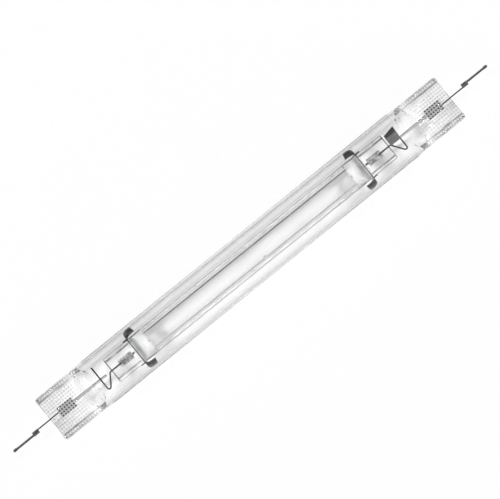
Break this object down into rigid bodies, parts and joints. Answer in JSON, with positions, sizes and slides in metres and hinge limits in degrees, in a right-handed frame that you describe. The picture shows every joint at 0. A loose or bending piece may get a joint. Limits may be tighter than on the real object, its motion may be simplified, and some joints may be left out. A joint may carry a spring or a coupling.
{
  "type": "metal halide lamp",
  "caption": "Long double-ended discharge lamp: a quartz arc tube on springs in a sealed clear quartz jacket, with flat pinches and a wire lead at each end.",
  "frame": {"origin": "the middle of the lamp, on its axis", "axes": "+X along the lamp axis towards the getter end, +Y across the flat pinches, +Z out of their broad faces"},
  "size_m": [0.3788, 0.033, 0.033],
  "materials": {
    "quartz": "clear fused quartz, smooth, with pressed waffle on the pinches",
    "coated_quartz": "clear fused quartz with white coated ends",
    "tungsten": "drawn, dull grey",
    "molybdenum_foil": "rolled foil, grey",
    "molybdenum_lead": "drawn wire, dark grey",
    "nickel_rod": "bright drawn rod",
    "spring_steel": "thin rolled strip, bright",
    "getter_metal": "folded sheet with a dark powder coat",
    "contact_metal": "plated wire strands and crimp"
  },
  "bodies": {
    "root": {"jacket": "quartz", "arc_tube": "coated_quartz", "left_electrode": "tungsten", "left_electrode_coil": "tungsten", "left_arc_foil": "molybdenum_foil", "left_arc_lead": "molybdenum_lead", "left_clip": "spring_steel", "left_support_rod": "nickel_rod", "left_jacket_foil": "molybdenum_foil", "left_outer_wire": "contact_metal", "left_crimp": "contact_metal", "left_contact_lead": "contact_metal", "right_electrode": "tungsten", "right_electrode_coil": "tungsten", "right_arc_foil": "molybdenum_foil", "right_arc_lead": "molybdenum_lead", "right_clip": "spring_steel", "right_support_rod": "nickel_rod", "right_jacket_foil": "molybdenum_foil", "right_outer_wire": "contact_metal", "right_crimp": "contact_metal", "right_contact_lead": "contact_metal", "getter_flag": "getter_metal"}
  },
  "joints": []
}
